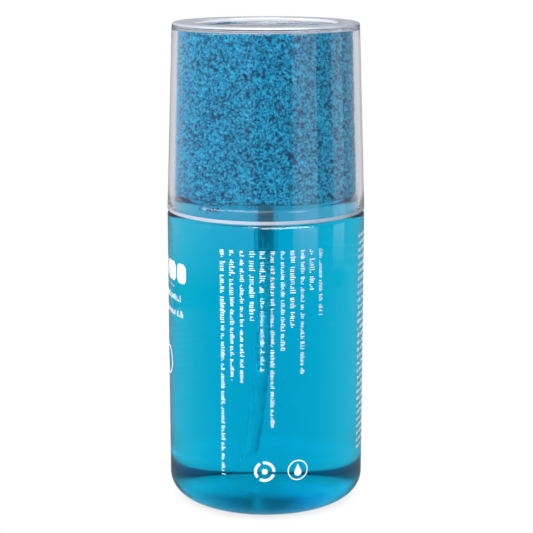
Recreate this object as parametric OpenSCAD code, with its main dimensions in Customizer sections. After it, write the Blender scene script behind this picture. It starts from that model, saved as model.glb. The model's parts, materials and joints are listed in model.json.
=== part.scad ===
// Lens cleaning spray: a clear round bottle of blue fluid with a fine-mist pump,
// a folded microfibre cloth wound round the pump, and a clear overcap over both.
// Millimetres, +Z up, origin at the centre of the base. The nozzle points along -X.

/* [Bottle] */
// Outside radius of the bottle and of the overcap's rim
body_r = 27.5; // [26.5:0.1:28.5]
// Height of the ledge that the overcap sits on
ledge_z = 82.4; // [70:0.1:110]
// Wall thickness of the blown bottle
bottle_wall = 1.0; // [0.8:0.1:1.2]
// Radius of the rounded heel
heel_r = 6.0; // [5:0.5:7]
// Height of the pushed-up dome in the base
push_up = 4.0; // [3:0.5:5]
// Height of the shoulder dome, from spigot to neck
shoulder_h = 5.2; // [4.5:0.1:5.6]
// Height of the fluid's surface above the ledge
fluid_rise = 7.6; // [2:0.1:7.8]

/* [Neck and closure] */
// Outside radius of the neck, under the thread
neck_r = 10.95; // [10.8:0.05:11.1]
// Bore radius of the neck
neck_bore_r = 9.0; // [8.5:0.1:9.2]
// Rise of the thread in one turn
thread_pitch = 3.175; // [3.1:0.025:3.25]
// Length of the neck thread, in degrees
neck_thread_turn = 450; // [360:30:450]
// Outside radius of the closure collar at its ribs
collar_r = 13.6; // [13.4:0.1:13.8]
// Number of grip ribs round the collar
collar_ribs = 48; // [24:4:60]

/* [Pump] */
// Working stroke of the spray button
stroke = 5.0; // [4:0.5:5]
// Bore radius of the pump housing
barrel_r = 3.9; // [3.8:0.05:4.0]
// Outside radius of the stem
stem_r = 2.25; // [2.2:0.05:2.3]
// Radial clearance of a piece that slides or turns
running_gap = 0.05; // [0.03:0.01:0.08]
// Outside radius of the spray button
button_r = 7.4; // [7:0.1:8]
// Outside radius of the dip tube
tube_r = 1.6; // [1.5:0.1:1.8]
// Sideways reach of the dip tube's curve at its lower end
tube_reach = 3.6; // [2:0.1:5]

/* [Overcap and cloth] */
// Height of the overcap
cap_h = 51.5; // [50:0.5:54]
// Outside radius of the overcap at its top
cap_top_r = 25.7; // [25.5:0.1:26]
// Wall thickness of the overcap
cap_wall = 1.2; // [1.1:0.1:1.5]
// Depth of the round recess in the overcap's top
recess_depth = 1.7; // [1:0.1:2]
// Radius of the bore through the wound cloth
cloth_bore_r = 14.2; // [14.1:0.1:14.5]

/* [Hidden] */
$fn = 96;

overlap = 0.1;
chamfer = 0.4;
small_chamfer = 0.2;
fine_fn = 24;
ring_outer_r = body_r - heel_r;
ring_inner_r = ring_outer_r - 2.5;
spigot_gap = 0.4;
spigot_r = body_r - cap_wall - spigot_gap;
spigot_h = 2.9;
snap_rise = 1.2;
snap_h = 0.8;
snap_proud = 0.22;
edge_r = 1.4;
shoulder_edge_r = 1.2;
shoulder_dome_r = 30;
shoulder_z = ledge_z + spigot_h + shoulder_edge_r;
neck_z = shoulder_z + shoulder_h;
neck_root_r = neck_r + 1.6;
neck_root_z = neck_z - 0.8;
neck_top_z = ledge_z + 22.6;
bead_r = 13.0;
bead_h = 1.4;
bead_slope = 0.3;
thread_z = neck_top_z - 5.6;
thread_depth = 1.0;
thread_root_w = 1.1;
thread_crest_w = 0.5;
steps_per_turn = 36;

gasket_h = 1.0;
flange_z = neck_top_z + gasket_h;
flange_top_z = flange_z + 1.2;
turret_z = flange_top_z + 0.8;
collar_top_z = turret_z + 1.4;
collar_round_z = collar_top_z - 1.5;
collar_low_z = neck_top_z - 9.6;
collar_bore_r = 12.35;
tower_r = 5.9;
tower_top_z = turret_z + 5.0;

seal_h = 0.8;
plug_z = flange_top_z - 0.9;
seal_z = plug_z - seal_h;
stem_flange_top_z = seal_z - 0.1;
stem_flange_h = 0.8;
stem_low_z = seal_z - 7.7;
stem_top_z = tower_top_z + stroke + 3.5;
stem_bore_r = 1.1;
plug_gap = 0.02;
press_gap = 0.01;
core_flange_h = 1.0;
core_flange_r = 2.95;
spring_guide_r = 1.7;
piston_travel = 0.6;
piston_z = stem_low_z + 0.1;
piston_top_z = stem_flange_top_z - stem_flange_h - piston_travel - 0.1;
spring_top_z = stem_low_z - core_flange_h;
spring_z = spring_top_z - 9.3;
spring_wire_r = 0.22;
spring_coil_r = 2.4;
spring_turns = 6;

ball_r = 1.25;
seat_z = spring_z - 3.5;
seat_r = 0.95;
ball_z = seat_z + sqrt(ball_r * ball_r - seat_r * seat_r) + 0.02;
socket_top_z = seat_z - 2.0;
housing_low_z = socket_top_z - 10.5;
socket_outer_r = 2.5;
waist_r = 3.1;
barrel_outer_r = barrel_r + 1.3;

button_z = collar_top_z + stroke + 0.1;
button_ceiling_z = tower_top_z + stroke + 0.4;
button_top_z = stem_top_z + 3.5;
nozzle_z = stem_top_z + 0.5;
button_face_x = -(button_r - 0.5);
insert_r = 1.9;
insert_x = button_face_x + 2.2;
insert_proud = 0.15;
finger_dish_r = 28;
finger_dish_z = button_top_z - 0.8;

tube_bend_z = 66;
tube_end_z = 10.5;
tube_drop = tube_bend_z - tube_end_z;
tube_bend_r = (tube_drop * tube_drop + tube_reach * tube_reach) / (2 * tube_reach);
tube_bend_angle = asin(tube_drop / tube_bend_r);
tube_outer_r = tube_r - plug_gap;
tube_bore_r = tube_r - 0.55;
tube_end_slant = 40;

cap_z = ledge_z + 0.1;
cap_top_z = cap_z + cap_h;
cap_ceiling_z = cap_top_z - recess_depth - 1.3;
cap_ring_z = cap_top_z - cap_wall;
cap_edge_r = 0.8;
recess_r = 0.76 * cap_top_r;
recess_edge_r = 0.5;
recess_wall_r = recess_r + 1.0;
cloth_z = shoulder_z + 0.8;
cloth_top_z = cap_ceiling_z - 0.4;
cloth_rim_z = cap_ring_z - 0.4;
fluid_z = ledge_z + fluid_rise;
fluid_gap = 0.05;
pocket_r = 5.5;

// Points along an arc about c, from angle a0 to a1
function arc(c, r, a0, a1, n = 8) =
    [for (i = [0:n]) let (a = a0 + (a1 - a0) * i / n) c + r * [cos(a), sin(a)]];

// Outside radius of the overcap at height z
function cap_radius(z) = body_r + (cap_top_r - body_r) * (z - cap_z) / cap_h;

// Arc of radius r from p to q, bulging away from the axis
function dome(p, q, r, n = 10) =
    let (chord = q - p, half = norm(chord) / 2,
         side = [chord[1], -chord[0]] / norm(chord),
         c = (p + q) / 2 - side * sqrt(r * r - half * half),
         a0 = atan2(p[1] - c[1], p[0] - c[0]), a1 = atan2(q[1] - c[1], q[0] - c[0]))
    arc(c, r, a0, a1, n);

// Outline of the bottle's outer skin, moved inwards by t, from the base to the neck root
function skin(t) =
    let (push_r = (ring_inner_r * ring_inner_r + push_up * push_up) / (2 * push_up),
         push_a = 90 - asin(ring_inner_r / push_r))
    concat(
        arc([0, push_up - push_r], push_r + t, 90, push_a),
        arc([ring_outer_r, heel_r], heel_r - t, -90, 0),
        arc([body_r - edge_r, ledge_z - edge_r], edge_r - t * 0.7, 0, 90, 5)
            + [for (i = [0:5]) [-0.3 * t, -0.3 * t]],
        [[spigot_r - t, ledge_z - t]],
        arc([spigot_r - shoulder_edge_r, ledge_z + spigot_h],
            shoulder_edge_r, 0, 70, 5) + [for (i = [0:5]) [-t, -t * 0.6]],
        dome([spigot_r - shoulder_edge_r - t, shoulder_z - 0.6 * t],
             [neck_root_r - t, neck_root_z - t], shoulder_dome_r));

// Trapezoid ridge swept up a helix: [inner r, outer r, half width inside, half width outside]
module ridge(low_z, turn, ridge_section) {
    n = ceil(turn / 360 * steps_per_turn);
    r0 = ridge_section[0];
    r1 = ridge_section[1];
    w0 = ridge_section[2];
    w1 = ridge_section[3];
    corners = [[r0, -w0], [r1, -w1], [r1, w1], [r0, w0]];
    points = [for (i = [0:n], c = corners)
        let (a = turn * i / n)
        [c[0] * cos(a), c[0] * sin(a), low_z + thread_pitch * a / 360 + c[1]]];
    sides = [for (i = [0:n - 1], j = [0:3])
        let (k = (j + 1) % 4)
        each [[4 * i + j, 4 * i + k, 4 * i + 4 + k], [4 * i + j, 4 * i + 4 + k, 4 * i + 4 + j]]];
    polyhedron(points, concat(sides, [[3, 2, 1, 0]], [[4 * n, 4 * n + 1, 4 * n + 2, 4 * n + 3]]));
}

// Flat ring
module ring(low_z, h, inner_r, outer_r) {
    translate([0, 0, low_z])
        difference() {
            cylinder(h = h, r = outer_r);
            translate([0, 0, -overlap])
                cylinder(h = h + 2 * overlap, r = inner_r);
        }
}

// Upright rod from one height to another
module rod(low_z, high_z, r) {
    translate([0, 0, low_z])
        cylinder(h = high_z - low_z, r = r);
}

module bottle() {
    bead_z = neck_z + 1.6;
    bead_top_z = bead_z + bead_h;
    neck_side = [[neck_r + bead_slope, neck_z + 0.6], [neck_r, neck_z + 1.2], [neck_r, bead_z],
                 [bead_r, bead_z + bead_slope], [bead_r, bead_top_z - bead_slope],
                 [neck_r, bead_top_z], [neck_r, neck_top_z - chamfer],
                 [neck_r - chamfer, neck_top_z], [neck_bore_r + small_chamfer, neck_top_z],
                 [neck_bore_r, neck_top_z - small_chamfer], [neck_bore_r, neck_z - 0.6]];
    inside = skin(bottle_wall);
    inside_down = [for (i = [len(inside) - 1:-1:0]) inside[i]];
    color([0.80, 0.93, 0.97, 0.45])
        union() {
            rotate_extrude()
                polygon(concat(skin(0), neck_side, inside_down));
            ring(ledge_z + snap_rise, snap_h, spigot_r - bottle_wall / 2, spigot_r + snap_proud);
            ridge(thread_z, neck_thread_turn,
                  [neck_r - chamfer, neck_r + thread_depth, thread_root_w, thread_crest_w]);
        }
}

module cleaning_fluid() {
    slot_w = tube_r + 0.5;
    slot_x = -tube_reach - 3;
    slot_z = tube_end_z - 0.8;
    filled = [for (p = skin(bottle_wall + fluid_gap)) if (p[1] < fluid_z) p];
    color([0.05, 0.62, 0.80, 0.85])
        difference() {
            rotate_extrude()
                polygon(concat(filled, [[filled[len(filled) - 1][0] - 1.5, fluid_z], [0, fluid_z]]));
            rod(housing_low_z - 0.5, fluid_z + 1, pocket_r);
            translate([slot_x, -slot_w, slot_z])
                cube([slot_w - slot_x, 2 * slot_w, housing_low_z - slot_z + chamfer]);
        }
}

module overcap() {
    rim_inner_r = body_r - cap_wall;
    inner_top_r = cap_radius(cap_ring_z) - cap_wall;
    groove_r = rim_inner_r - 0.1;
    color([0.93, 0.95, 0.97, 0.35])
        rotate_extrude()
            polygon(concat(
                [[rim_inner_r + small_chamfer, cap_z], [body_r - small_chamfer, cap_z],
                 [body_r, cap_z + small_chamfer]],
                arc([cap_top_r - cap_edge_r, cap_top_z - cap_edge_r], cap_edge_r, 2, 90, 5),
                arc([recess_r + recess_edge_r, cap_top_z - recess_edge_r], recess_edge_r, 90, 175, 4),
                [[recess_r - 0.1, cap_top_z - recess_depth], [0, cap_top_z - recess_depth],
                 [0, cap_ceiling_z], [recess_wall_r, cap_ceiling_z],
                 [recess_wall_r + 0.4, cap_ring_z]],
                arc([inner_top_r - 1, cap_ring_z - 1], 1, 90, 2, 5),
                [[rim_inner_r - 0.03, cap_z + 1.0], [groove_r, cap_z + 0.8],
                 [groove_r, cap_z + 0.5], [rim_inner_r, cap_z + small_chamfer]]));
}

module microfibre_cloth() {
    low_r = cap_radius(cloth_z) - cap_wall - 0.8;
    top_r = cap_radius(cloth_rim_z) - cap_wall - 0.35;
    step_r = recess_wall_r + 0.8;
    color([0.10, 0.43, 0.62])
        rotate_extrude()
            polygon([[low_r, cloth_z + 0.3], [top_r, cloth_rim_z], [step_r + 0.4, cloth_rim_z],
                     [step_r, cloth_top_z], [cloth_bore_r, cloth_top_z],
                     [cloth_bore_r, neck_z + 0.3], [low_r - 1.2, cloth_z]]);
}

module closure_collar() {
    rib_depth = 0.25;
    rib_points = [for (i = [0:2 * collar_ribs - 1])
        let (a = 180 * i / collar_ribs, r = i % 2 == 0 ? collar_r : collar_r - rib_depth)
        r * [cos(a), sin(a)]];
    color([0.95, 0.96, 0.97])
        union() {
            difference() {
                union() {
                    translate([0, 0, collar_low_z])
                        linear_extrude(collar_top_z - collar_low_z - 1)
                            polygon(rib_points);
                    rod(collar_round_z, collar_top_z, collar_r - rib_depth - 0.3);
                }
                rod(collar_low_z - overlap, turret_z + overlap, collar_bore_r);
                rod(turret_z, collar_top_z + overlap, tower_r + 0.3);
            }
            ridge(thread_z - thread_pitch / 2, 360, [neck_r + 0.5, collar_bore_r + 0.3, 0.35, 1.0]);
        }
}

module neck_gasket() {
    color([0.86, 0.88, 0.90])
        ring(neck_top_z, gasket_h, 5.4, neck_r);
}

module pump_housing() {
    vent_z = flange_z - 1.5;
    vent_r = 0.5;
    color([0.93, 0.94, 0.95])
        difference() {
            rotate_extrude()
                polygon([[0, housing_low_z], [socket_outer_r, housing_low_z],
                         [socket_outer_r, socket_top_z + 0.5], [waist_r, socket_top_z + 1],
                         [waist_r, spring_z - 1.5], [barrel_outer_r, spring_z + 0.5],
                         [barrel_outer_r, flange_z], [neck_r, flange_z], [neck_r, flange_top_z],
                         [0, flange_top_z]]);
            rod(housing_low_z - overlap, socket_top_z, tube_r);
            rod(socket_top_z - overlap, seat_z + overlap, seat_r);
            rod(seat_z, spring_z - 0.6, spring_guide_r);
            rod(seat_z, spring_z + overlap, ball_r - 0.1);
            rod(spring_z, flange_top_z + overlap, barrel_r);
            translate([barrel_r - 1, 0, vent_z])
                rotate([0, 90, 0])
                    cylinder(h = 4, r = vent_r, $fn = fine_fn);
        }
}

module pump_turret() {
    plug_r = barrel_r - plug_gap;
    cover_r = neck_r - 0.5;
    tower_chamfer = 0.5;
    color([0.95, 0.96, 0.97])
        difference() {
            rotate_extrude()
                polygon([[0, plug_z], [plug_r, plug_z], [plug_r, flange_top_z],
                         [cover_r, flange_top_z], [cover_r, turret_z],
                         [tower_r, turret_z], [tower_r, tower_top_z - tower_chamfer],
                         [tower_r - tower_chamfer, tower_top_z], [0, tower_top_z]]);
            rod(plug_z - overlap, tower_top_z + overlap, stem_r + running_gap);
        }
}

module stem_seal() {
    color([0.30, 0.32, 0.35])
        ring(seal_z, seal_h, stem_r + running_gap, barrel_r - plug_gap);
}

module stem() {
    port_r = 0.45;
    color([0.97, 0.97, 0.98])
        difference() {
            union() {
                rod(stem_low_z, stem_top_z, stem_r);
                rod(stem_flange_top_z - stem_flange_h, stem_flange_top_z, stem_r + 0.75);
            }
            rod(stem_low_z - overlap, stem_top_z + overlap, stem_bore_r);
            translate([-stem_r - 1, 0, stem_low_z + 1.4])
                rotate([0, 90, 0])
                    cylinder(h = 2 * stem_r + 2, r = port_r, $fn = fine_fn);
        }
}

module stem_core() {
    color([0.90, 0.91, 0.93])
        union() {
            rod(stem_low_z - overlap, stem_low_z + 0.7, stem_bore_r - press_gap);
            rod(spring_top_z, stem_low_z, core_flange_r);
            rod(spring_top_z - 1.5, spring_top_z + overlap, spring_guide_r);
        }
}

module piston() {
    lip_r = barrel_r - running_gap;
    bore_r = stem_r + running_gap;
    sleeve_r = 3.0;
    sleeve_top_z = piston_top_z - 1.0;
    waist_out_r = 3.3;
    lip_w = 0.3;
    color([0.88, 0.93, 0.97])
        rotate_extrude()
            polygon([[bore_r, piston_z], [sleeve_r, piston_z], [sleeve_r + 0.1, piston_z + 1.2],
                     [lip_r - lip_w, piston_z], [lip_r, piston_z + 0.1],
                     [lip_r - 0.1, piston_z + 2], [waist_out_r, piston_z + 2.6],
                     [waist_out_r, piston_top_z - 1.6], [lip_r, piston_top_z],
                     [lip_r - lip_w, piston_top_z], [sleeve_r, sleeve_top_z],
                     [bore_r, sleeve_top_z]]);
}

module return_spring() {
    sides = 8;
    steps = 18;
    end_gap = 0.05;
    n = spring_turns * steps;
    low_z = spring_z + spring_wire_r + end_gap;
    rise = spring_top_z - spring_z - 2 * (spring_wire_r + end_gap);
    points = [for (i = [0:n], j = [0:sides - 1])
        let (a = 360 * i / steps, b = 360 * j / sides,
             r = spring_coil_r + spring_wire_r * cos(b))
        [r * cos(a), r * sin(a), low_z + rise * i / n + spring_wire_r * sin(b)]];
    skin_faces = [for (i = [0:n - 1], j = [0:sides - 1])
        let (k = (j + 1) % sides, p = sides * i, q = sides * (i + 1))
        each [[p + j, p + k, q + k], [p + j, q + k, q + j]]];
    color([0.75, 0.77, 0.80])
        polyhedron(points, concat(skin_faces, [[for (j = [sides - 1:-1:0]) j]],
                                  [[for (j = [0:sides - 1]) sides * n + j]]));
}

module inlet_ball() {
    color([0.82, 0.84, 0.87])
        translate([0, 0, ball_z])
            sphere(r = ball_r);
}

module dip_tube() {
    color([0.85, 0.92, 0.95])
        difference() {
            union() {
                rod(tube_bend_z, socket_top_z - small_chamfer, tube_outer_r);
                translate([-tube_bend_r, 0, tube_bend_z])
                    rotate([90, 0, 0])
                        rotate_extrude(angle = -tube_bend_angle)
                            translate([tube_bend_r, 0])
                                circle(r = tube_outer_r);
            }
            rod(tube_bend_z - overlap, socket_top_z + overlap, tube_bore_r);
            translate([-tube_bend_r, 0, tube_bend_z])
                rotate([90, 0, 0])
                    rotate_extrude(angle = -tube_bend_angle)
                        translate([tube_bend_r, 0])
                            circle(r = tube_bore_r);
            translate([-tube_reach - tube_r, -tube_r - 1, tube_end_z + 0.3])
                rotate([0, -tube_end_slant, 0])
                    translate([-2, 0, -6])
                        cube([9, 2 * tube_r + 2, 6]);
        }
}

module spray_button() {
    top_edge_r = 1.2;
    channel_r = 0.7;
    color([0.97, 0.98, 0.99])
        difference() {
            rotate_extrude()
                polygon(concat([[0, button_z], [button_r, button_z]],
                               arc([button_r - top_edge_r, button_top_z - top_edge_r],
                                   top_edge_r, 0, 90, 6),
                               [[0, button_top_z]]));
            rod(button_z - overlap, button_ceiling_z, tower_r + 0.4);
            rod(button_ceiling_z - overlap, stem_top_z + 0.1, stem_r + running_gap);
            rod(stem_top_z, nozzle_z + 0.4, stem_bore_r);
            translate([insert_x - overlap, 0, nozzle_z])
                rotate([0, 90, 0])
                    cylinder(h = -insert_x, r = channel_r, $fn = fine_fn);
            translate([-button_r - 1, 0, nozzle_z])
                rotate([0, 90, 0])
                    cylinder(h = button_r + 1 + insert_x, r = insert_r);
            translate([button_face_x - 2, -button_r, button_z - overlap])
                cube([2, 2 * button_r, button_top_z - button_z + 1]);
            translate([0, 0, finger_dish_z + finger_dish_r])
                sphere(r = finger_dish_r);
        }
}

module nozzle_insert() {
    orifice_r = 0.25;
    swirl_r = 0.8;
    color([0.90, 0.93, 0.96])
        difference() {
            translate([button_face_x - insert_proud, 0, nozzle_z])
                rotate([0, 90, 0])
                    cylinder(h = insert_x - button_face_x + insert_proud, r = insert_r - press_gap);
            translate([button_face_x - 1, 0, nozzle_z])
                rotate([0, 90, 0])
                    cylinder(h = 4, r = orifice_r, $fn = fine_fn);
            translate([button_face_x + 0.9, 0, nozzle_z])
                rotate([0, 90, 0])
                    cylinder(h = 2, r = swirl_r, $fn = fine_fn);
            translate([button_face_x - swirl_r, 0, nozzle_z])
                rotate([0, 90, 0])
                    cylinder(h = 0.9, r1 = 1.4, r2 = 0.5, $fn = fine_fn);
        }
}

bottle();
cleaning_fluid();
overcap();
microfibre_cloth();
closure_collar();
neck_gasket();
pump_housing();
pump_turret();
stem_seal();
stem();
stem_core();
piston();
return_spring();
inlet_ball();
dip_tube();
spray_button();
nozzle_insert();
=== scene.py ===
import json
import math

import bpy
import numpy as np
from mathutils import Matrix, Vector

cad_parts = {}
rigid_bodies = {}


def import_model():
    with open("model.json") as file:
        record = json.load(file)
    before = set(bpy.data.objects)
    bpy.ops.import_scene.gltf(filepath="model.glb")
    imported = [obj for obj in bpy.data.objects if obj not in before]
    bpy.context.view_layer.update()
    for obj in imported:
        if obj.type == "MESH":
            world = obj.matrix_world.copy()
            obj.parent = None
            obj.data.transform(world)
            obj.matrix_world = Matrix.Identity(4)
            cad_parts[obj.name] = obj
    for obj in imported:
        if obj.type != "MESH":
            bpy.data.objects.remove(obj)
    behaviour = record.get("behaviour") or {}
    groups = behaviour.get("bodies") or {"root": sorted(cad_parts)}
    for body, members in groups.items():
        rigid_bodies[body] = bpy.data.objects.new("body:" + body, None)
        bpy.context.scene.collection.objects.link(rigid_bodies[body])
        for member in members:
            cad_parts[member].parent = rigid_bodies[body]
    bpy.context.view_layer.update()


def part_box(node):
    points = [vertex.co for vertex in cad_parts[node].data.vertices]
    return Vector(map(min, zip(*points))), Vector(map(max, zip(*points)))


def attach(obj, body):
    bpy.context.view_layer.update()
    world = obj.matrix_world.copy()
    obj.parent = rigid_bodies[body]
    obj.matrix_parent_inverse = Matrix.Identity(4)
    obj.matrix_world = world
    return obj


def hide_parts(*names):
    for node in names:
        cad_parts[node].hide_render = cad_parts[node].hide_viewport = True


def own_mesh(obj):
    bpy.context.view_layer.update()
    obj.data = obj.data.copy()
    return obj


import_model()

MM = 0.001


# ---------------------------------------------------------------- sizes, all in millimetres

def box_mm(node):
    """A CAD node's lowest and highest corners."""
    low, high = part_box(node)
    return [v / MM for v in low], [v / MM for v in high]


BOTTLE_HIGH = box_mm("bottle")[1]
CAP_LOW, CAP_HIGH = box_mm("overcap")
CLOTH_LOW, CLOTH_HIGH = box_mm("microfibre_cloth")
FLUID_TOP = box_mm("cleaning_fluid")[1][2]

# the bottle
BODY_R = BOTTLE_HIGH[0]
NECK_TOP = BOTTLE_HIGH[2]
LEDGE = CAP_LOW[2] - 0.1
WALL = 1.0
CAP_WALL = 1.2
HEEL_R = 6.0
RING_WIDTH = 2.5
PUSH_UP = 4.0
EDGE_R = 1.4
SPIGOT_R = BODY_R - CAP_WALL - 0.4
SPIGOT_H = 2.9
SHOULDER_EDGE_R = 1.2
SHOULDER_DOME_R = 30
SHOULDER = LEDGE + SPIGOT_H + SHOULDER_EDGE_R
NECK_R = 10.95
NECK_BORE = 9.0
NECK = SHOULDER + 5.2
NECK_ROOT_R = NECK_R + 1.6
NECK_EDGE_R = 0.4
BEAD = NECK + 1.6
BEAD_R = 13.0
THREAD_PITCH = 3.175
THREAD_Z = NECK_TOP - 5.6
THREAD_TURN = 450.0
THREAD_FADE = 25.0

# the overcap
CAP_TOP_R = 25.7
CAP_Z = CAP_LOW[2]
CAP_TOP = CAP_HIGH[2]
CAP_EDGE_R = 0.8
CAP_RIM_R = 0.2
CAP_CORNER_R = 1
RECESS_DEPTH = 1.7
RECESS_R = 0.76 * CAP_TOP_R
RECESS_EDGE_R = 0.5
RECESS_FOOT_R = 0.3
RECESS_WALL_R = RECESS_R + 1.0
CAP_CEILING = CAP_TOP - RECESS_DEPTH - 1.3
CAP_RING = CAP_TOP - CAP_WALL

# the meshes
AROUND = 256
WALL_STEP = 4
POLE_R = 1e-6
CLEAR_SHARP = 50
ALL_SMOOTH = 180


# ---------------------------------------------------------------- shape helpers

def arc(centre, radius, start, end, n):
    """Points along an arc in the (radius, height) plane, angles in degrees."""
    turn = np.radians(np.linspace(start, end, n + 1))
    return [(centre[0] + radius * math.cos(a), centre[1] + radius * math.sin(a)) for a in turn]


def dome(p, q, radius, n):
    """An arc of the given radius from p to q that bulges away from the axis."""
    p, q = np.array(p), np.array(q)
    chord = q - p
    side = np.array([chord[1], -chord[0]]) / np.linalg.norm(chord)
    centre = (p + q) / 2 - side * math.sqrt(radius ** 2 - (np.linalg.norm(chord) / 2) ** 2)
    start = math.degrees(math.atan2(*(p - centre)[::-1]))
    end = math.degrees(math.atan2(*(q - centre)[::-1]))
    return arc(centre, radius, start, end, n)


def shift(points, dr, dz):
    return [(r + dr, z + dz) for r, z in points]


def spaced(outline, step):
    """The outline with points added so that no stretch is longer than step."""
    out = []
    for (r0, z0), (r1, z1) in zip(outline, outline[1:]):
        n = max(1, math.ceil(math.hypot(r1 - r0, z1 - z0) / step))
        out += [(r0 + (r1 - r0) * i / n, z0 + (z1 - z0) * i / n) for i in range(n)]
    return out + [outline[-1]]


def direction(azimuth, elevation):
    """Unit vector; azimuth 0 is the camera's side and positive is to its right, in degrees."""
    a, e = math.radians(azimuth), math.radians(elevation)
    return Vector((math.sin(a) * math.cos(e), -math.cos(a) * math.cos(e), math.sin(e)))


def mesh_piece(name, points, faces, material, body, sharp=30.0):
    """A piece from points in millimetres, smooth shaded but for edges sharper than sharp."""
    mesh = bpy.data.meshes.new(name)
    mesh.from_pydata([tuple(float(c) * MM for c in p) for p in points], [], faces)
    mesh.validate()
    mesh.polygons.foreach_set("use_smooth", [True] * len(mesh.polygons))
    mesh.set_sharp_from_angle(angle=math.radians(sharp))
    for one in material if isinstance(material, list) else [material]:
        mesh.materials.append(one)
    piece = bpy.data.objects.new(name, mesh)
    bpy.context.scene.collection.objects.link(piece)
    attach(piece, body)
    return piece


def lathe(outline, segments, bulge=None):
    """Points and faces of an outline turned round Z. Points on the axis become poles.
    bulge(radius, height, angle) gives each point's own radius."""
    points, rings = [], []
    for r, z in outline:
        if r < POLE_R:
            rings.append([len(points)])
            points.append((0.0, 0.0, z))
            continue
        rings.append(list(range(len(points), len(points) + segments)))
        for i in range(segments):
            a = 2 * math.pi * i / segments
            own = bulge(r, z, a) if bulge else r
            points.append((own * math.cos(a), own * math.sin(a), z))
    faces = []
    for low, high in zip(rings, rings[1:]):
        for i in range(segments):
            j = (i + 1) % segments
            corners = [low[i % len(low)], low[j % len(low)],
                       high[j % len(high)], high[i % len(high)]]
            faces.append([c for k, c in enumerate(corners) if c != corners[k - 1]])
    return points, [f for f in faces if len(f) > 2]


# ---------------------------------------------------------------- materials

class Nodes:
    """Short forms for building one material's nodes."""

    def __init__(self, name):
        self.material = bpy.data.materials.new(name)
        self.material.use_nodes = True
        self.tree = self.material.node_tree
        self.shader = self.tree.nodes["Principled BSDF"]

    def add(self, kind, **values):
        node = self.tree.nodes.new(kind)
        for key, value in values.items():
            if key in node.inputs:
                node.inputs[key].default_value = value
            else:
                setattr(node, key, value)
        return node

    def link(self, a, b):
        self.tree.links.new(a, b)

    def set(self, **values):
        for key, value in values.items():
            self.shader.inputs[key.replace("_", " ")].default_value = value

    def place(self):
        return self.add("ShaderNodeTexCoord").outputs["Object"]

    def noise(self, scale, detail=2.0, rough=0.5):
        node = self.add("ShaderNodeTexNoise", Scale=scale, Detail=detail, Roughness=rough)
        self.link(self.place(), node.inputs["Vector"])
        return node.outputs["Fac"]

    def ramp(self, value, low, high, start=0.0, end=1.0):
        """value from start to end mapped to low to high, and held beyond them."""
        node = self.add("ShaderNodeMapRange")
        node.inputs["From Min"].default_value = start
        node.inputs["From Max"].default_value = end
        node.inputs["To Min"].default_value = low
        node.inputs["To Max"].default_value = high
        self.link(value, node.inputs["Value"])
        return node.outputs["Result"]

    def colours(self, value, *stops):
        """A colour ramp over (place, colour) stops."""
        node = self.add("ShaderNodeValToRGB")
        ramp = node.color_ramp
        while len(ramp.elements) < len(stops):
            ramp.elements.new(0.5)
        for element, (where, colour) in zip(ramp.elements, stops):
            element.position = where
            element.color = (*colour, 1)
        self.link(value, node.inputs["Fac"])
        return node.outputs["Color"]

    def bump(self, height, strength, distance):
        node = self.add("ShaderNodeBump", Strength=strength, Distance=distance)
        self.link(height, node.inputs["Height"])
        self.link(node.outputs["Normal"], self.shader.inputs["Normal"])


def clear_plastic(name, tint, ior, gloss, reflect=1.0, matt=0.0):
    """Clear moulded plastic: faint flow marks in its gloss and a slow ripple in its surface.
    reflect is the share of the usual mirror image that it keeps: none where it touches fluid.
    matt is how much rougher it is at the heel and base, fading out up the wall."""
    m = Nodes(name)
    m.set(Base_Color=(*tint, 1), IOR=ior, Transmission_Weight=1.0,
          Specular_Tint=(reflect, reflect, reflect, 1))
    rough = m.ramp(m.noise(35, 3), gloss, gloss + 0.04)
    if matt:
        height = m.add("ShaderNodeSeparateXYZ")
        m.link(m.place(), height.inputs["Vector"])
        total = m.add("ShaderNodeMath", operation="ADD")
        m.link(rough, total.inputs[0])
        m.link(m.ramp(height.outputs["Z"], matt, 0.0, MATT_FULL, MATT_END), total.inputs[1])
        rough = total.outputs["Value"]
    m.link(rough, m.shader.inputs["Roughness"])
    m.bump(m.noise(60, 1), 0.04, 0.0006)
    return m.material


def fluid_material():
    """Clear liquid whose blue comes from absorption, so it deepens with thickness."""
    m = Nodes("blue_fluid")
    m.set(Base_Color=(1, 1, 1, 1), IOR=1.33, Transmission_Weight=1.0, Roughness=0.0,
          Specular_Tint=(0, 0, 0, 1))
    depth = m.add("ShaderNodeVolumeAbsorption", Density=260.0)
    depth.inputs["Color"].default_value = (0.0, 0.930, 0.966, 1)
    output = m.tree.nodes["Material Output"]
    m.link(depth.outputs["Volume"], output.inputs["Volume"])
    return m.material


def translucent_plastic(name, tint, clear, ior, roughness):
    """Natural plastic that lets light through: cloudy, with faint streaks along its length."""
    m = Nodes(name)
    streaks = m.add("ShaderNodeTexNoise", Scale=300.0, Detail=3.0)
    along = m.add("ShaderNodeMapping")
    along.inputs["Scale"].default_value = (1, 1, 0.05)
    m.link(m.place(), along.inputs["Vector"])
    m.link(along.outputs["Vector"], streaks.inputs["Vector"])
    darker = tuple(c * 0.95 for c in tint)
    m.link(m.colours(streaks.outputs["Fac"], (0.3, darker), (0.7, tint)),
           m.shader.inputs["Base Color"])
    m.set(IOR=ior, Transmission_Weight=clear)
    m.link(m.ramp(streaks.outputs["Fac"], roughness, roughness + 0.1),
           m.shader.inputs["Roughness"])
    return m.material


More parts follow.
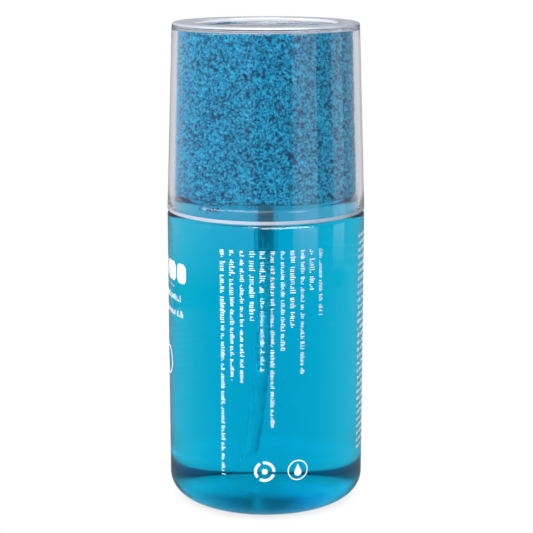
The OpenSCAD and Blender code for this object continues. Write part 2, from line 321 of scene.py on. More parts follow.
def moulded_plastic(name, colour, roughness):
    """Opaque moulded plastic: fine grain, slight colour drift and satin gloss."""
    m = Nodes(name)
    darker = tuple(c * 0.93 for c in colour)
    m.link(m.colours(m.noise(180, 3), (0.3, darker), (0.7, colour)),
           m.shader.inputs["Base Color"])
    m.link(m.ramp(m.noise(900, 2), roughness - 0.06, roughness + 0.06),
           m.shader.inputs["Roughness"])
    m.bump(m.noise(2500, 2), 0.06, 0.0001)
    return m.material


def metal(name, colour, roughness):
    """Bare metal with faint stains and drawing marks in its gloss."""
    m = Nodes(name)
    m.set(Metallic=1.0)
    m.link(m.colours(m.noise(800, 3), (0.3, tuple(c * 0.85 for c in colour)), (0.7, colour)),
           m.shader.inputs["Base Color"])
    m.link(m.ramp(m.noise(1500, 2), roughness, roughness + 0.1), m.shader.inputs["Roughness"])
    return m.material


def pile_material():
    """Looped microfibre pile: painted shade between the loops, fading to the cloth's own blue on
    their tips.
    """
    m = Nodes("microfibre_pile")
    height = m.add("ShaderNodeAttribute", attribute_name="pile").outputs["Fac"]
    # the pile's height picks the colour: painted shade where the pile is low, the cloth's own blue
    # at the tips
    colour = m.colours(height, (0.0, (0.0, 0.06, 0.13)), (0.3, (0.0, 0.15, 0.27)),
                       (0.55, (0.003, 0.36, 0.57)), (1.0, (0.06, 0.66, 0.90)))
    drift = m.add("ShaderNodeMix", data_type="RGBA", blend_type="MULTIPLY")
    drift.inputs["Factor"].default_value = 1.0
    m.link(colour, drift.inputs["A"])
    m.link(m.colours(m.noise(130, 3), (0.3, (0.82, 0.86, 0.9)), (0.7, (1.08, 1.06, 1.04))),
           drift.inputs["B"])
    m.link(drift.outputs["Result"], m.shader.inputs["Base Color"])
    m.set(Roughness=0.95, Specular_IOR_Level=0.0)
    m.bump(m.noise(6000, 3, 0.7), 0.5, 0.00012)
    return m.material


# heights in metres: fully matt up to the first, and glossy from the second
MATT_FULL, MATT_END = 0.004, 0.013
CLEAR_PET = clear_plastic("clear_pet", (0.98, 1.0, 1.0), 1.5, 0.0, matt=0.15)
WET_PET = clear_plastic("clear_pet_wet", (0.98, 1.0, 1.0), 1.5, 0.0, reflect=0.0, matt=0.15)
CLEAR_CAP = clear_plastic("clear_cap", (0.78, 0.79, 0.84), 1.5, 0.03, reflect=0.65)
# the recess floor is rougher and cloudier than the wall, and its grey tint is painted shade
CAP_FLOOR_SHADED = translucent_plastic("cap_recess", (0.46, 0.50, 0.55), 0.85, 1.5, 0.18)
# pale and cloudy: a matte mould edge on the rim, and a painted reflection on the top ring
CAP_EDGE = translucent_plastic("cap_edge", (0.68, 0.71, 0.78), 0.65, 1.5, 0.25)
FLUID = fluid_material()
WHITE = moulded_plastic("white_plastic", (0.66, 0.68, 0.70), 0.32)
RIBBED = moulded_plastic("white_ribbed_plastic", (0.62, 0.64, 0.66), 0.42)
NATURAL = translucent_plastic("natural_plastic", (0.82, 0.88, 0.92), 0.55, 1.45, 0.3)
HOUSING = translucent_plastic("natural_plastic_wet", (0.84, 0.93, 0.96), 0.92, 1.05, 0.2)
TUBE = translucent_plastic("tube_plastic", (0.95, 0.99, 1.0), 0.15, 1.05, 0.35)
GASKET = moulded_plastic("grey_gasket", (0.32, 0.34, 0.37), 0.7)
WIRE = metal("spring_steel", (0.62, 0.63, 0.65), 0.22)
BALL = metal("ball_steel", (0.78, 0.79, 0.81), 0.08)
PILE = pile_material()
INK = moulded_plastic("white_ink", (0.86, 0.88, 0.90), 0.45)
# air seen from inside the fluid, so its index is 1 / 1.33
BUBBLE = clear_plastic("air_bubble", (1.0, 1.0, 1.0), 0.752, 0.0)


# ---------------------------------------------------------------- bottle and fluid

def skin(inset):
    """The bottle's outline from the middle of its base to the root of its neck, moved in by
    inset: 0 gives the outside and WALL the inside."""
    ring_outer = BODY_R - HEEL_R
    ring_inner = ring_outer - RING_WIDTH
    push_r = (ring_inner ** 2 + PUSH_UP ** 2) / (2 * PUSH_UP)
    push_end = 90 - math.degrees(math.asin(ring_inner / push_r))
    dome_start = (SPIGOT_R - SHOULDER_EDGE_R - inset, SHOULDER - 0.6 * inset)
    dome_end = (NECK_ROOT_R - inset, NECK - 0.8 - inset)
    return (
        arc((0, PUSH_UP - push_r), push_r + inset, 90, push_end, 24)
        + arc((ring_outer, HEEL_R), HEEL_R - inset, -90, 0, 20)
        + spaced([(BODY_R - inset, HEEL_R + 0.3), (BODY_R - inset, LEDGE - EDGE_R - 0.3)],
                 WALL_STEP)
        + shift(arc((BODY_R - EDGE_R, LEDGE - EDGE_R), EDGE_R - 0.7 * inset, 0, 90, 8),
                -0.3 * inset, -0.3 * inset)
        + [(SPIGOT_R - inset, LEDGE - inset)]
        + shift(arc((SPIGOT_R - SHOULDER_EDGE_R, LEDGE + SPIGOT_H), SHOULDER_EDGE_R, 0, 70, 8),
                -inset, -0.6 * inset)
        + dome(dome_start, dome_end, SHOULDER_DOME_R, 20)
    )


def thread_bulge(r, z, angle):
    """Radius of the neck with its helical thread on it."""
    if abs(r - NECK_R) > 0.01 or not NECK + 4 < z < NECK_TOP - 0.3:
        return r
    best = 0.0
    for turn in (0, 1):
        run = math.degrees(angle) + 360 * turn
        if run > THREAD_TURN:
            continue
        away = abs(z - THREAD_Z - THREAD_PITCH * run / 360)
        lead = min(1.0, run / THREAD_FADE, (THREAD_TURN - run) / THREAD_FADE)
        best = max(best, lead * min(1.0, max(0.0, (1.1 - away) / 0.55)))
    return r + best


def make_bottle():
    """The blown bottle with its threaded neck. Its inner faces under the fluid are wet."""
    neck = (
        [(NECK_R + 0.3, NECK + 0.6), (NECK_R, NECK + 1.2), (NECK_R, BEAD)]
        + arc((BEAD_R - NECK_EDGE_R, BEAD + 0.7), NECK_EDGE_R, -90, 90, 6)
        + [(NECK_R, BEAD + 1.4)]
        + spaced([(NECK_R, THREAD_Z - 1.8), (NECK_R, NECK_TOP - NECK_EDGE_R)], 0.14)
        + arc((NECK_R - NECK_EDGE_R, NECK_TOP - NECK_EDGE_R), NECK_EDGE_R, 0, 90, 4)
        + [(NECK_BORE + 0.2, NECK_TOP), (NECK_BORE, NECK_TOP - 0.2), (NECK_BORE, NECK - 0.6)]
    )
    outside = skin(0) + neck
    points, faces = lathe(outside + skin(WALL)[::-1], AROUND, thread_bulge)
    piece = mesh_piece("clear_bottle", points, faces, [CLEAR_PET, WET_PET], "bottle",
                       CLEAR_SHARP)
    inner = sum(1 if r < POLE_R else AROUND for r, z in outside)
    for face in piece.data.polygons:
        wet = min(face.vertices) >= inner and all(points[v][2] < FLUID_TOP for v in face.vertices)
        face.material_index = 1 if wet else 0
    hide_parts("bottle")


def make_fluid():
    """The fluid reaches a little into the bottle's wall, so that no air shows between them."""
    side = [p for p in skin(WALL - 0.12) if p[1] < FLUID_TOP]
    edge_r = side[-1][0]
    meniscus = [(edge_r - 0.9, FLUID_TOP - 0.05), (edge_r - 2.2, FLUID_TOP - 0.3),
                (edge_r - 4.5, FLUID_TOP - 0.35)]
    points, faces = lathe(side + meniscus + [(0, FLUID_TOP - 0.35)], AROUND)
    piece = mesh_piece("blue_fluid", points, faces, FLUID, "bottle", CLEAR_SHARP)
    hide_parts("cleaning_fluid")


# ---------------------------------------------------------------- print and bubbles

INK_DEPTH = 0.04
INK_ROOT = -0.01
SMALL_PRINT = 1.2
BOLD_PRINT = 1.6
LINE_TOP = 75.5
FIRST_LINE = -11.9
LINE_GAP = 2.75
ICON_Z = 14.3
RING_FLAKES = 36


def on_wall(points, depth):
    """Points (round the body from the front, height) placed on the body's outside, in mm."""
    r = BODY_R + depth
    return [(r * math.sin(s / BODY_R), -r * math.cos(s / BODY_R), z) for s, z in points]


def ink_patch(shape, points, faces):
    """Adds a closed flake of ink with the given outline, anticlockwise seen from outside."""
    n, start = len(shape), len(points)
    points += on_wall(shape, INK_DEPTH) + on_wall(shape, INK_ROOT)
    faces.append(tuple(start + i for i in range(n)))
    faces.append(tuple(start + n + i for i in range(n))[::-1])
    for i in range(n):
        j = (i + 1) % n
        faces.append((start + i, start + n + i, start + n + j, start + j))


def tile(s, z, width, height):
    """A rectangle with clipped corners round the point (s, z)."""
    w, h, c = width / 2, height / 2, 0.22 * min(width, height)
    return [(s - w + c, z - h), (s + w - c, z - h), (s + w, z - h + c), (s + w, z + h - c),
            (s + w - c, z + h), (s - w + c, z + h), (s - w, z + h - c), (s - w, z - h + c)]


def print_line(rng, start, length, size, upright, points, faces):
    """A line of plain strokes in word-like groups. Its strokes are upright and it runs right,
    or they lie flat and it runs down."""
    s, z = start
    run, word = 0.0, rng.integers(3, 9)
    while run < length:
        tall = size * rng.choice([0.3, 0.7, 0.7, 0.7, 1.0])
        low = (size - tall) * rng.choice([0.0, 0.0, 0.3]) - size / 2
        thick = size * rng.uniform(0.09, 0.15)
        if upright:
            shape = tile(s + run + thick / 2, z + low + tall / 2, thick, tall)
        else:
            shape = tile(s + low + tall / 2, z - run - thick / 2, tall, thick)
        ink_patch(shape, points, faces)
        run += thick + size * rng.uniform(0.15, 0.3)
        word -= 1
        if word == 0:
            run += size * 0.5
            word = rng.integers(4, 14)


def ring_patches(s, z, outer, inner, gaps, points, faces):
    """A ring of ink, cut into short flakes, with the given number of gaps in it."""
    for i in range(RING_FLAKES):
        if gaps and i % (RING_FLAKES // gaps) >= RING_FLAKES // gaps - 2:
            continue
        a, b = 2 * math.pi * i / RING_FLAKES, 2 * math.pi * (i + 1) / RING_FLAKES
        ink_patch([(s + r * math.cos(t), z + r * math.sin(t))
                   for r, t in ((outer, a), (outer, b), (inner, b), (inner, a))], points, faces)


def drop_shape(s, z, size):
    """A plain drop, point up."""
    round_part = [(s + size * math.cos(a), z + size * math.sin(a))
                  for a in np.radians(np.linspace(-205, 25, 14))]
    return round_part + [(s, z + 2.3 * size)]


def make_print():
    """Generic marks in place of the label: no letters, only rows of strokes and plain icons."""
    rng = np.random.default_rng(21)
    points, faces = [], []
    # lines that run down the front, each with a bold start and a thin rest
    lengths = [63, 36, 37, 19, 33, 50, 28, 21, 35, 11, 19]
    bold = [20, 12, 0, 17, 12, 0, 0, 21, 0, 11, 0]
    for i, (length, thick) in enumerate(zip(lengths, bold)):
        s = FIRST_LINE + LINE_GAP * i
        print_line(rng, (s, LINE_TOP), thick, BOLD_PRINT, False, points, faces)
        print_line(rng, (s, LINE_TOP - thick - 0.8 * (thick > 0)), length - thick - 0.9,
                   SMALL_PRINT, False, points, faces)
    # a block of short rows on the right
    for i in range(31):
        print_line(rng, (32.5 + rng.uniform(-0.2, 0.4), 76.5 - 2.03 * i), rng.uniform(22, 33),
                   SMALL_PRINT, True, points, faces)
    # on the left: five plain blocks, two lines, a rule and an empty ring
    for s, width in ((-27.4, 4.6), (-34.0, 6.6), (-41.2, 4.4), (-47.5, 6.0), (-54.5, 5.0)):
        ink_patch(tile(s, 66.7, width, 5.4), points, faces)
    for z, end in ((59.5, -27.5), (55.2, -26.5)):
        print_line(rng, (end - 29, z), 29, 1.9, True, points, faces)
    ink_patch(tile(-44, 62.3, 24, 0.35), points, faces)
    ring_patches(-38.5, 40, 4.2, 3.7, 0, points, faces)
    # near the base: a broken ring with a square in it, and a ring with a drop in it
    ring_patches(-0.3, ICON_Z, 2.9, 2.15, 3, points, faces)
    ink_patch(tile(-0.3, ICON_Z, 1.5, 1.5), points, faces)
    ring_patches(8.9, ICON_Z, 2.9, 2.6, 0, points, faces)
    ink_patch(drop_shape(8.9, ICON_Z - 0.6, 1.05), points, faces)
    mesh_piece("printed_marks", points, faces, INK, "bottle")


def make_bubbles():
    """Small bubbles of air caught under the shoulder: a cluster on the left, a pair near the
    front and a few more round the back."""
    rng = np.random.default_rng(5)
    # azimuth in degrees, radius and rise in millimetres
    places = [(-38, 1.25, 0.0), (-43, 0.8, 0.5), (-33, 0.7, -0.4), (-30, 0.9, 0.6),
              (-47, 0.6, -0.6), (-41, 0.5, -1.2), (-35, 0.45, 1.2), (-11, 0.75, 0.2),
              (-6, 0.7, 0.2)]
    places += [(rng.uniform(-180, 180), rng.uniform(0.3, 0.7), rng.uniform(-0.5, 0.5))
               for _ in range(10)]
    points, faces = [], []
    for turn, size, rise in places:
        middle = direction(turn, 0) * (SPIGOT_R - WALL - 2.0 - size)
        ball, ball_faces = lathe(arc((0, SHOULDER - 0.9 + rise), size, -90, 90, 12), 20)
        start = len(points)
        points += [(x + middle.x, y + middle.y, z) for x, y, z in ball]
        faces += [[start + c for c in f] for f in ball_faces]
    mesh_piece("air_bubbles", points, faces, BUBBLE, "bottle", sharp=ALL_SMOOTH)


# ---------------------------------------------------------------- overcap

def cap_radius(z):
    """Outside radius of the tapered overcap at a height."""
    return BODY_R + (CAP_TOP_R - BODY_R) * (z - CAP_Z) / (CAP_TOP - CAP_Z)


def make_overcap():
    """The overcap: clear wall, a cloudier recess floor whose grey tint is painted shade, a pale
    matte rim, and a pale top ring that is a painted reflection.
    """
    rim = BODY_R - CAP_WALL
    inner_top = cap_radius(CAP_RING) - CAP_WALL
    outside_top = CAP_TOP - 1.2
    snap = rim - 0.1
    inside = (
        [(0, CAP_CEILING), (RECESS_WALL_R - RECESS_FOOT_R, CAP_CEILING)]
        + arc((RECESS_WALL_R - RECESS_FOOT_R, CAP_CEILING + RECESS_FOOT_R),
              RECESS_FOOT_R, -80, -14, 4)
        + arc((RECESS_WALL_R + 0.6, CAP_RING - 0.2), 0.2, 166, 90, 4)
        + arc((inner_top - CAP_CORNER_R, CAP_RING - CAP_CORNER_R), CAP_CORNER_R, 90, 2, 8)
        + spaced([(inner_top, CAP_RING - 2), (rim - 0.03, CAP_Z + 1.2)], WALL_STEP)
        + [(snap, CAP_Z + 0.8), (snap, CAP_Z + 0.5), (rim, CAP_Z + 0.2)]
    )
    outside = (
        arc((rim + CAP_RIM_R, CAP_Z + CAP_RIM_R), CAP_RIM_R, 180, 270, 4)
        + arc((BODY_R - CAP_RIM_R, CAP_Z + CAP_RIM_R), CAP_RIM_R, -90, 0, 4)
        + spaced([(BODY_R - 0.03, CAP_Z + 1), (cap_radius(outside_top), outside_top)], WALL_STEP)
        + arc((CAP_TOP_R - CAP_EDGE_R, CAP_TOP - CAP_EDGE_R), CAP_EDGE_R, 2, 90, 10)
        + arc((RECESS_R + RECESS_EDGE_R, CAP_TOP - RECESS_EDGE_R), RECESS_EDGE_R, 90, 175, 8)
        + arc((RECESS_R - 0.4, CAP_TOP - RECESS_DEPTH + RECESS_FOOT_R), RECESS_FOOT_R, 0, -90, 4)
        + [(0, CAP_TOP - RECESS_DEPTH)]
    )
    points, faces = lathe(inside + outside, AROUND)
    piece = mesh_piece("clear_overcap", points, faces, [CLEAR_CAP, CAP_FLOOR_SHADED, CAP_EDGE], "cap",
                       CLEAR_SHARP)
    for face in piece.data.polygons:
        radii = [math.hypot(*points[v][:2]) for v in face.vertices]
        heights = [points[v][2] for v in face.vertices]
        # the recess floor, whose grey tint is painted shade
        if max(radii) < RECESS_R and min(heights) > CAP_CEILING + 0.5:
            face.material_index = 1
        # the rim, pale at its matte mould edge, and the top ring, whose paleness is a painted
        # reflection
        elif max(heights) < CAP_Z + 1.01 or min(heights) > CAP_TOP - 0.6:
            face.material_index = 2
    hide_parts("overcap")


# ---------------------------------------------------------------- microfibre cloth

FLAT = 175.0
FOLDED_HEIGHT = 43
CLOTH_STEP = 0.9
PLY = 1.1
HALF_PLY = 0.42
PLIES = 4
PACK = PLY * PLIES
SEAM_ANGLE = 40.0
CLOTH_Z0 = CLOTH_LOW[2] + 0.1
CLOTH_Z1 = CLOTH_HIGH[2] - 0.1

PILE_H = 0.85
PILE_STEP = 0.27
PILE_ROOT = 0.3
PILE_FOLD_R = 0.55
PILE_TURN_IN = 0.9
PILE_MEAN_R = 24.2
LOOPS_PER_MM2 = 4.6
YARN_R = 0.115
YARN_REACH = 0.42
LOOP_BEADS = 9


def outer_radius(turn, z):
    """Outside radius of the wound pack at a winding angle (degrees from its free edge)."""
    wall = cap_radius(z) - CAP_WALL - 0.15 - PILE_H
    droop = 0.25 * (CLOTH_Z1 - z) / (CLOTH_Z1 - CLOTH_Z0)
    slide = np.clip((turn - 300) / 60, 0, 1)
    return wall - droop - 0.15 - (PACK + 0.35) * slide * slide * (3 - 2 * slide)


def loop_field(width, height, step, seed):
    """A height map of random curled loops, from 0 in the gaps to 1 on the tips."""
    rng = np.random.default_rng(seed)
    nu, nv = int(height / step) + 1, int(width / step) + 1
    field = np.zeros((nu, nv))
    count = int(width * height * LOOPS_PER_MM2)
    mid_u = rng.uniform(0, height, count)
    mid_v = rng.uniform(0, width, count)
    radius = rng.uniform(0.2, 0.48, count)
    start = rng.uniform(0, 2 * math.pi, count)
    span = rng.uniform(1.6, 4.2, count)
    lift = rng.uniform(0.45, 1.0, count)
    reach = int(math.ceil(YARN_REACH / step))
    offsets = [(i, j) for i in range(-reach, reach + 1) for j in range(-reach, reach + 1)]
    for along in np.linspace(0, 1, LOOP_BEADS):
        a = start + span * along
        u = mid_u + radius * np.sin(a)
        v = mid_v + radius * np.cos(a)
        tip = lift * (0.55 + 0.45 * math.sin(math.pi * along))
        iu, iv = np.round(u / step).astype(int), np.round(v / step).astype(int)
        for i, j in offsets:
            du, dv = (iu + i) * step - u, (iv + j) * step - v
            value = tip * np.exp(-(du ** 2 + dv ** 2) / (2 * YARN_R ** 2))
            keep = (iu + i >= 0) & (iu + i < nu) & (iv + j >= 0) & (iv + j < nv)
            np.maximum.at(field, ((iu + i)[keep], (iv + j)[keep]), value[keep])
    return field


def pile_section(along):
    """Height, distance in from the face, and normal (outward, up) at a distance down the pile's
    section, which turns in over the upper edge before 0 and under the lower edge at the end."""
    over = math.pi / 2 * PILE_FOLD_R
    straight = CLOTH_Z1 - CLOTH_Z0 - 2 * PILE_FOLD_R
    past = -along if along < 0 else along - straight
    if past <= 0:
        return CLOTH_Z1 - PILE_FOLD_R - along, 0.0, (1.0, 0.0)
    lean = min(math.pi / 2, past / PILE_FOLD_R)
    back = PILE_FOLD_R * (1 - math.cos(lean)) + max(0, past - over)
    if along < 0:
        z = CLOTH_Z1 - PILE_FOLD_R + PILE_FOLD_R * math.sin(lean)
        return z, back, (math.cos(lean), math.sin(lean))
    z = CLOTH_Z0 + PILE_FOLD_R - PILE_FOLD_R * math.sin(lean)
    return z, back, (math.cos(lean), -math.sin(lean))


def make_pile():
    """The looped outer face of the cloth, over its hem at the top and round its lower fold."""
    step = PILE_STEP
    turns = np.arange(0, 360, math.degrees(step / PILE_MEAN_R))
    ends = math.pi / 2 * PILE_FOLD_R + PILE_TURN_IN
    path = np.arange(-ends, CLOTH_Z1 - CLOTH_Z0 - 2 * PILE_FOLD_R + ends, step)
    field = loop_field(len(turns) * step, len(path) * step, step, 7)[:len(path), :len(turns)]
    soft = np.random.default_rng(3)
    waves = [(soft.uniform(0.5, 3), soft.uniform(-3, 3), soft.uniform(0, 6.3)) for _ in range(6)]
    outside, inside, heights = [], [], []
    for i, along in enumerate(path):
        z, back, normal = pile_section(along)
        for j, turn in enumerate(turns):
            a = math.radians(SEAM_ANGLE + turn)
            wave = sum(math.sin(k * a * 2 + f * z / 12 + p) for k, f, p in waves) * 0.035
            r = outer_radius(turn, z) - back + wave
            h = field[i, j] * PILE_H
            z_wave = z + 0.12 * math.sin(3 * a + 1) + 0.08 * math.sin(7 * a)
            tip_r, root_r = r + normal[0] * h, r - normal[0] * PILE_ROOT
            outside.append((tip_r * math.cos(a), tip_r * math.sin(a), z_wave + normal[1] * h * 0.5))
            inside.append((root_r * math.cos(a), root_r * math.sin(a),
                           z_wave - normal[1] * PILE_ROOT))
            heights.append(field[i, j])
    piece = mesh_piece("cloth_pile", outside + inside, slab_faces(len(path), len(turns)), PILE,
                       "cloth", ALL_SMOOTH)
    # the loops' heights, from which the pile material paints shade into the gaps
    pile = piece.data.attributes.new("pile", "FLOAT", "POINT")
    pile.data.foreach_set("value", heights + [0.0] * len(inside))
    return piece


def slab_faces(nu, nv):
    """Faces of a closed slab whose outer grid of nu by nv points is followed by its inner grid."""
    n = nu * nv
    faces = []
    for i in range(nu - 1):
        for j in range(nv - 1):
            a, b, c, d = i * nv + j, i * nv + j + 1, (i + 1) * nv + j + 1, (i + 1) * nv + j
            faces.append((a, d, c, b))
            faces.append((n + a, n + b, n + c, n + d))
    for i in range(nu - 1):
        a, d = i * nv, (i + 1) * nv
        faces.append((a, n + a, n + d, d))
        a, d = a + nv - 1, d + nv - 1
        faces.append((a, d, n + d, n + a))
    for j in range(nv - 1):
        faces.append((j, j + 1, n + j + 1, n + j))
        a = (nu - 1) * nv + j
        faces.append((a, n + a, n + a + 1, a + 1))
    return faces


def fold_path(step_long, step_turn):
    """The cloth's folded section, as rows of the depth from the outer face, the height from 0
    to 1, the rise past a fold's start, and the normal outward and up."""
    rows = []
    for k in range(PLIES):
        down = k % 2 == 0
        heights = np.linspace(int(down), int(not down), int(FOLDED_HEIGHT / step_long))
        side = 1.0 if down else -1.0
        rows += [((k + 0.5) * PLY, h, 0.0, side, 0.0) for h in heights]
        if k == PLIES - 1:
            break
        for a in np.linspace(0, math.pi, step_turn)[1:-1]:
            swing = -1 if down else 1
            rows.append(((k + 1) * PLY - PLY / 2 * math.cos(a), 0.0 if down else 1.0,
                         swing * PLY / 2 * math.sin(a), side * math.cos(a),
                         swing * side * math.sin(a)))
    return rows


def make_cloth():
    """The square of cloth folded into four plies and wound round the pump."""
    rows = fold_path(CLOTH_STEP, 8)
    columns = []
    length, turn = 0.0, 0.0
    while length < FLAT:
        columns.append(turn)
        mid = float(outer_radius(turn, (CLOTH_Z0 + CLOTH_Z1) / 2)) - PACK / 2
        turn += math.degrees(CLOTH_STEP / mid)
        length += CLOTH_STEP
    rng = np.random.default_rng(11)
    waves = [(rng.uniform(1, 7), rng.uniform(-4, 4), rng.uniform(0, 6.3)) for _ in range(8)]
    outside, inside = [], []
    for depth, height, rise, out_r, out_z in rows:
        for turn in columns:
            a = math.radians(SEAM_ANGLE + turn)
            # each ply stays below the cap's recess and above the bottle's sloping shoulder
            ply_r = float(outer_radius(turn, CLOTH_Z0)) - depth
            under_recess = float(outer_radius(turn, CLOTH_Z1)) - depth < RECESS_WALL_R + 1.3
            top = (CAP_CEILING - 0.5 if under_recess else CLOTH_Z1) - 0.75
            low = max(CLOTH_Z0 + 0.7, NECK + 0.5 - 0.42 * (ply_r - NECK_ROOT_R))
            z = low + (top - low) * height + rise
            wave = sum(math.sin(k * a * 3 + f * z / 9 + depth + p) for k, f, p in waves) * 0.02
            grain = rng.uniform(-0.06, 0.06)
            r = float(outer_radius(turn, z)) - depth - 0.1 + wave
            for side, keep in ((1, outside), (-1, inside)):
                away = side * (HALF_PLY + grain)
                keep.append(((r + away * out_r) * math.cos(a), (r + away * out_r) * math.sin(a),
                             z + away * out_z))
    piece = mesh_piece("folded_cloth", outside + inside, slab_faces(len(rows), len(columns)),
                       PILE, "cloth", ALL_SMOOTH)
    # random pile heights on the plies, so the pile material's painted shade lies on them at random
    pile = piece.data.attributes.new("pile", "FLOAT", "POINT")
    pile.data.foreach_set("value", rng.uniform(0.25, 0.95, len(outside) * 2).astype(np.float32))
    loops = make_pile()
    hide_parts("microfibre_cloth")


# ---------------------------------------------------------------- pump parts

SPRING_LOW, SPRING_HIGH = box_mm("return_spring")
SPRING_WIRE_R = 0.22
SPRING_TURNS = 6
STEPS_A_TURN = 32
WIRE_SIDES = 10


def make_spring():
    """The return spring: a coil of wire that rides on the pump."""
    coil_r = SPRING_HIGH[0] - SPRING_WIRE_R
    low = SPRING_LOW[2] + SPRING_WIRE_R
    rise = SPRING_HIGH[2] - SPRING_LOW[2] - 2 * SPRING_WIRE_R
    n, around = SPRING_TURNS * STEPS_A_TURN, WIRE_SIDES
    points = []
    for i in range(n + 1):
        a = 2 * math.pi * SPRING_TURNS * i / n
        for k in range(around):
            b = 2 * math.pi * k / around
            r = coil_r + SPRING_WIRE_R * math.cos(b)
            points.append((r * math.cos(a), r * math.sin(a),
                           low + rise * i / n + SPRING_WIRE_R * math.sin(b)))
    faces = [(i * around + k, (i + 1) * around + k, (i + 1) * around + (k + 1) % around,
              i * around + (k + 1) % around) for i in range(n) for k in range(around)]
    faces += [tuple(range(around)), tuple(range(n * around, (n + 1) * around))[::-1]]
    piece = mesh_piece("coil_spring", points, faces, WIRE, "pump")
    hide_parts("return_spring")
    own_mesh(piece)


def dress_cad_nodes():
    """Gives the CAD nodes that stay their materials."""
    looks = {
        "closure_collar": RIBBED, "spray_button": WHITE, "nozzle_insert": WHITE,
        "pump_turret": WHITE, "pump_housing": HOUSING, "stem": NATURAL, "stem_core": NATURAL,
        "piston": NATURAL, "dip_tube": TUBE, "neck_gasket": GASKET, "stem_seal": GASKET,
        "inlet_ball": BALL,
    }
    for node, material in looks.items():
        for one in bpy.data.objects:
            if one.name == node:
                for slot in one.material_slots:
                    slot.material = material


# ---------------------------------------------------------------- stage, lights and camera

# all in metres, and angles in degrees
MIDDLE = Vector((0, 0, 0.07))
PANEL_DISTANCE = 2.0
PANEL_GRID = 12
BACKDROP_R = 3
FLOOR_R = 2.8
FLOOR_Z = -0.0002
BASE_SHADE_R = 0.027
BOUNCES = 40


def softbox(name, azimuth, elevation, distance, size, power):
    """A rectangular area light that faces the middle of the object."""
    light = bpy.data.lights.new(name, "AREA")
    light.shape = "RECTANGLE"
    light.size, light.size_y = size
    light.energy = power
    obj = bpy.data.objects.new(name, light)
    obj.location = MIDDLE + distance * direction(azimuth, elevation)
    obj.rotation_euler = (MIDDLE - obj.location).to_track_quat("-Z", "Y").to_euler()
    obj.visible_camera = False
    obj.visible_glossy = False
    bpy.context.scene.collection.objects.link(obj)


def glow(name, strength, fade=None):
    """A material that only gives off light, and isn't sampled as a lamp. fade is the two
    heights, in metres, between which it comes up from nothing."""
    m = Nodes(name)
    emission = m.add("ShaderNodeEmission", Strength=strength)
    if fade:
        split = m.add("ShaderNodeSeparateXYZ")
        m.link(m.add("ShaderNodeNewGeometry").outputs["Position"], split.inputs["Vector"])
        m.link(m.ramp(split.outputs["Z"], 0.0, strength, *fade), emission.inputs["Strength"])
    m.link(emission.outputs["Emission"], m.tree.nodes["Material Output"].inputs["Surface"])
    m.material.cycles.emission_sampling = "NONE"
    return m.material


def panel(name, azimuths, elevations, strength, fade=None):
    """A bright panel of the studio that only shows as a reflection on glossy surfaces."""
    n, row = PANEL_GRID, PANEL_GRID + 1
    points = [MIDDLE + PANEL_DISTANCE * direction(
                  azimuths[0] + (azimuths[1] - azimuths[0]) * i / n,
                  elevations[0] + (elevations[1] - elevations[0]) * j / n)
              for j in range(row) for i in range(row)]
    faces = [(j * row + i, j * row + i + 1, (j + 1) * row + i + 1, (j + 1) * row + i)
             for j in range(n) for i in range(n)]
    mesh = bpy.data.meshes.new(name)
    mesh.from_pydata(points, [], faces)
    mesh.materials.append(glow(name, strength, fade))
    obj = bpy.data.objects.new(name, mesh)
    bpy.context.scene.collection.objects.link(obj)
    obj.visible_camera = obj.visible_diffuse = obj.visible_transmission = False
    obj.visible_shadow = False


def make_world():
    """A dim studio, dark on the camera's side and lighter behind the object."""
    world = bpy.data.worlds.new("studio")
    world.use_nodes = True
    tree = world.node_tree
    place = tree.nodes.new("ShaderNodeTexCoord")
    split = tree.nodes.new("ShaderNodeSeparateXYZ")
    ramp = tree.nodes.new("ShaderNodeMapRange")
    for key, value in (("From Min", -0.4), ("From Max", 0.9), ("To Min", 0.03), ("To Max", 0.22)):
        ramp.inputs[key].default_value = value
    tree.links.new(place.outputs["Generated"], split.inputs["Vector"])
    tree.links.new(split.outputs["Y"], ramp.inputs["Value"])
    tree.links.new(ramp.outputs["Result"], tree.nodes["Background"].inputs["Strength"])
    tree.nodes["Background"].inputs["Color"].default_value = (0.98, 0.98, 1.0, 1)
    bpy.context.scene.world = world


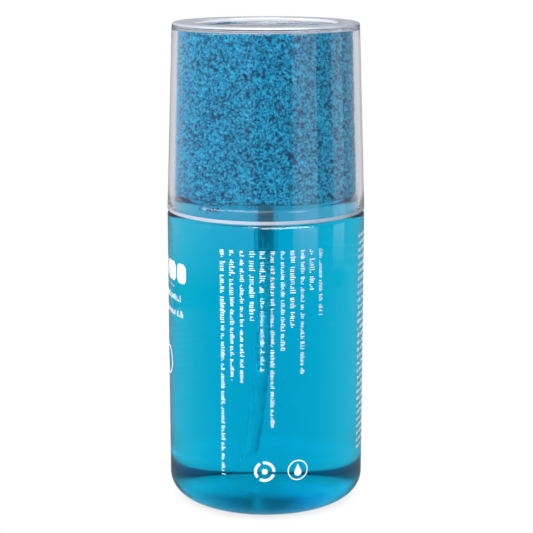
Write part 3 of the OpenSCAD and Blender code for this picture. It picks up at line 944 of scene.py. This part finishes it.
def make_stage():
    """White backdrop and floor, seen directly and through clear parts, and the lights."""
    make_world()
    bpy.ops.mesh.primitive_uv_sphere_add(segments=64, ring_count=32, radius=BACKDROP_R,
                                         location=(0, 0, 0))
    backdrop = bpy.context.object
    backdrop.name = "white_backdrop"
    backdrop.data.materials.append(glow("white_backdrop", 1.0))
    backdrop.visible_diffuse = backdrop.visible_glossy = backdrop.visible_shadow = False

    bpy.ops.mesh.primitive_circle_add(vertices=96, radius=FLOOR_R, fill_type="NGON",
                                      location=(0, 0, FLOOR_Z))
    floor = bpy.context.object
    floor.name = "floor"
    # white, with the shade that the bottle's own base casts under itself
    m = Nodes("white_floor")
    middle = m.add("ShaderNodeTexGradient", gradient_type="SPHERICAL")
    spread = m.add("ShaderNodeMapping")
    spread.inputs["Scale"].default_value = (1 / BASE_SHADE_R,) * 3
    m.link(m.add("ShaderNodeNewGeometry").outputs["Position"], spread.inputs["Vector"])
    m.link(spread.outputs["Vector"], middle.inputs["Vector"])
    emission = m.add("ShaderNodeEmission")
    m.link(m.colours(middle.outputs["Fac"], (0.0, (1, 1, 1)), (0.35, (0.5, 0.55, 0.62))),
           emission.inputs["Color"])
    m.link(emission.outputs["Emission"], m.tree.nodes["Material Output"].inputs["Surface"])
    m.material.cycles.emission_sampling = "NONE"
    floor.data.materials.append(m.material)
    floor.visible_diffuse = floor.visible_glossy = floor.visible_shadow = False

    softbox("front_softbox", -22, 45, 1.1, (0.9, 0.9), 22)
    softbox("left_softbox", -70, 25, 1.2, (0.7, 0.7), 16)
    softbox("right_softbox", 40, 25, 1.2, (0.5, 0.7), 9)
    panel("left_wall", (-140, -13), (-14, 60), 0.45, fade=(-0.38, -0.29))
    panel("panel_a", (31, 37), (-13, 15), 1.3, fade=(-0.36, -0.28))
    panel("panel_b", (37, 62), (-13, 15), 1.9, fade=(-0.36, -0.28))
    panel("panel_c", (84, 103), (-13, 15), 1.4, fade=(-0.36, -0.28))
    panel("front_light", (-39, -13), (25, 85), 34)
    panel("spot_light", (32, 42), (25, 85), 34)
    panel("wide_light", (-7, 62), (25, 85), 10)
    scene = bpy.context.scene
    scene.view_settings.view_transform = "Standard"
    scene.cycles.max_bounces = BOUNCES
    scene.cycles.transmission_bounces = BOUNCES
    scene.cycles.glossy_bounces = BOUNCES


def make_camera():
    """A long lens, a little above the object and tilted down at it."""
    distance, height, pitch = 16.0 * BODY_R, 5.856 * BODY_R, 12.25
    camera = bpy.data.cameras.new("camera")
    camera.sensor_width = 36
    camera.lens = 107.7
    obj = bpy.data.objects.new("camera", camera)
    obj.location = (0.19 * MM, -distance * MM, height * MM)
    obj.rotation_euler = (math.radians(90 - pitch), 0, 0)
    bpy.context.scene.collection.objects.link(obj)
    bpy.context.scene.camera = obj


make_camera()
make_stage()
make_bottle()
make_fluid()
make_print()
make_bubbles()
make_overcap()
make_cloth()
make_spring()
dress_cad_nodes()
